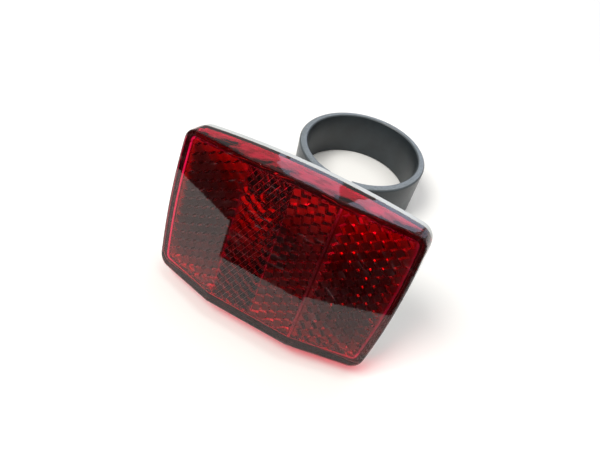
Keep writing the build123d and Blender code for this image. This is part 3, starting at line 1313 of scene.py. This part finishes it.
@dataclass(frozen=True)
class Lamp:
    """One flat soft lamp: where it hangs, where it looks, its sides, its radiance and its tint."""

    name: str
    place: Point
    target: Point
    width: float
    height: float
    radiance: float
    tint: str

    def build(self) -> None:
        """Hang the lamp, unseen by the camera. Its power is radiance times pi times its area."""
        data = bpy.data.lights.new(self.name, "AREA")
        data.shape = "RECTANGLE"
        data.size = self.width
        data.size_y = self.height
        data.energy = self.radiance * math.pi * self.width * self.height
        data.color = linear(self.tint)[:3]
        lamp = bpy.data.objects.new(self.name, data)
        lamp.location = self.place
        look = Vector(self.target) - Vector(self.place)
        lamp.rotation_euler = look.to_track_quat("-Z", "Y").to_euler()
        lamp.visible_camera = False
        link(lamp)


@dataclass(frozen=True)
class Stage:
    """A plain pale table under soft light, with a bright window behind and a dark card in front."""

    floor_half: float = 3.0
    floor_colour: str = "#fbfaf7"
    bright_from: float = 0.12
    bright_to: float = 0.42
    card_distance: float = 125 * MM
    card_half: float = 500 * MM
    card_height: float = 320 * MM
    card_colour: str = "#0b0b0c"
    room_strength: float = 0.38
    lamps: tuple[Lamp, ...] = (
        Lamp("window_left", (-0.13, 0.5, 0.23), (-0.13, 0, 0.23), 0.12, 0.44, 1.2, "#d5e0ff"),
        Lamp("window_middle", (0.06, 0.5, 0.23), (0.06, 0, 0.23), 0.15, 0.44, 1.8, "#d5e0ff"),
        Lamp("window_right", (0.27, 0.5, 0.23), (0.27, 0, 0.23), 0.16, 0.44, 0.7, "#d5e0ff"),
        Lamp("overhead", (0.1, 0.2, 0.75), (0, -0.04, 0), 0.45, 0.45, 2.8, "#fffdf9"),
        Lamp("front_left", (-0.25, -0.3, 0.6), (0, -0.04, 0), 0.3, 0.3, 12.0, "#fffdf9"),
    )

    def build(self) -> None:
        """Make the floor, the dark card in front, the lamps and the world."""
        half = self.floor_half
        corner_turns = ((-half, -half), (half, -half), (half, half), (-half, half))
        floor = self._sheet("floor", [(x, y, 0) for x, y in corner_turns])
        dress(floor, self._floor_paint())
        wide, near, top = self.card_half, -self.card_distance, self.card_height
        corner_turns = ((-wide, 0), (wide, 0), (wide, top), (-wide, top))
        card = self._sheet("dark_card", [(x, near, z) for x, z in corner_turns])
        dress(card, self._card_paint())
        card.visible_camera = False
        card.visible_diffuse = False
        card.visible_shadow = False
        self._world()
        for lamp in self.lamps:
            lamp.build()

    def _sheet(self, name: str, points: list[Point]) -> Piece:
        """Lay one flat sheet of the stage through four corners.

        Args:
            name: The sheet's name.
            points: Its corners in order.

        Returns:
            The sheet.
        """
        mesh = bpy.data.meshes.new(name)
        mesh.from_pydata(points, [], [(0, 1, 2, 3)])
        sheet = bpy.data.objects.new(name, mesh)
        link(sheet)
        return sheet

    def _card_paint(self) -> Finish:
        """Matt dark paint of the card.

        Returns:
            A diffuse material.
        """
        material, tree, output = blank_material("card_paint")
        shader = add_node(tree, "BsdfDiffuse", Color=linear(self.card_colour))
        tree.links.new(shader.outputs["BSDF"], output.inputs["Surface"])
        return material

    def _floor_paint(self) -> Finish:
        """Matt pale paint that turns to plain white further out, as a lit studio sweep does.

        Returns:
            A diffuse material that fades to a white the camera alone sees.
        """
        material, tree, output = blank_material("floor_paint")
        place = add_node(tree, "TexCoord").outputs["Object"]
        away = add_node(tree, "VectorMath", {"operation": "LENGTH"}, in_0=place)
        far = remap(tree, away.outputs["Value"], (self.bright_from, self.bright_to))
        seen = add_node(tree, "LightPath").outputs["Is Camera Ray"]
        near = add_node(tree, "BsdfDiffuse", Color=linear(self.floor_colour))
        white = add_node(tree, "Emission", Color=(1.0, 1.0, 1.0, 1.0), Strength=1.0)
        fade = reckon(tree, "MULTIPLY", far, seen)
        shader = overlay(tree, fade, near.outputs["BSDF"], white.outputs["Emission"])
        tree.links.new(shader, output.inputs["Surface"])
        return material

    def _world(self) -> None:
        """Light the scene evenly from all round, and show plain white to the camera."""
        world = bpy.data.worlds.new("room")
        bpy.context.scene.world = world
        world.use_nodes = True
        tree = world.node_tree
        tree.nodes.clear()
        output = tree.nodes.new("ShaderNodeOutputWorld")
        seen = add_node(tree, "LightPath").outputs["Is Camera Ray"]
        strength = remap(tree, seen, target=(self.room_strength, 1.0))
        sky = add_node(tree, "Background", Color=(1.0, 1.0, 1.0, 1.0), Strength=strength)
        tree.links.new(sky.outputs["Background"], output.inputs["Surface"])


@dataclass(frozen=True)
class Viewpoint:
    """The photograph's camera, worked out from the outlines of the lens and the ring.

    Angles are in degrees, and the focal length is in pixels of a frame as wide as frame_px.
    """

    eye: Point = (21.1 * MM, -108.1 * MM, 86.1 * MM)
    azimuth: float = 17.28
    elevation: float = 44.8
    roll: float = 14.02
    focal_px: float = 459.4
    frame_px: float = 600.0
    sensor: float = 36.0
    nearest: float = 5.0 * MM

    def build(self) -> None:
        """Make the camera and set it as the scene's own.

        It looks back along the way that azimuth and elevation give, and turns about it by the roll.
        """
        az, el, roll = (math.radians(a) for a in (self.azimuth, self.elevation, self.roll))
        back = Vector((math.sin(az) * math.cos(el), -math.cos(az) * math.cos(el), math.sin(el)))
        right = Vector((0, 0, 1)).cross(back).normalized()
        up = back.cross(right)
        turned_right = right * math.cos(roll) + up * math.sin(roll)
        turned_up = up * math.cos(roll) - right * math.sin(roll)
        data = bpy.data.cameras.new("camera")
        data.sensor_width = self.sensor
        data.lens = self.focal_px / self.frame_px * self.sensor
        data.clip_start = self.nearest
        camera = bpy.data.objects.new("camera", data)
        columns = Matrix((turned_right, turned_up, back)).transposed().to_4x4()
        camera.matrix_world = Matrix.Translation(self.eye) @ columns
        link(camera)
        bpy.context.scene.camera = camera


def main() -> None:
    """Dress the part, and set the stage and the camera."""
    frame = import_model()
    nodes = frame["nodes"]
    pivot = tuple(frame["record"]["behaviour"]["joints"][0]["pos_m"])
    grey, black, steel = GREY_ABS.build(), BLACK_NYLON.build(), ZincSteel().build()
    lens = Lens()
    place = lens.plane(nodes["lens"])
    pieces = lens.build(place)
    pieces += BackPlate().build(nodes["back_plate"], place, grey)
    pieces += TiltArm().build(nodes, place, pivot, black, steel)
    pieces += PostClamp().build(nodes, pivot, black, steel)
    for piece in pieces:
        LOG.info("%s: %d faces", piece.name, len(piece.data.polygons))
    Stage().build()
    Viewpoint().build()
    bpy.context.scene.view_settings.view_transform = "Standard"


if __name__ == "__main__":
    logging.basicConfig(level=logging.INFO)
    main()
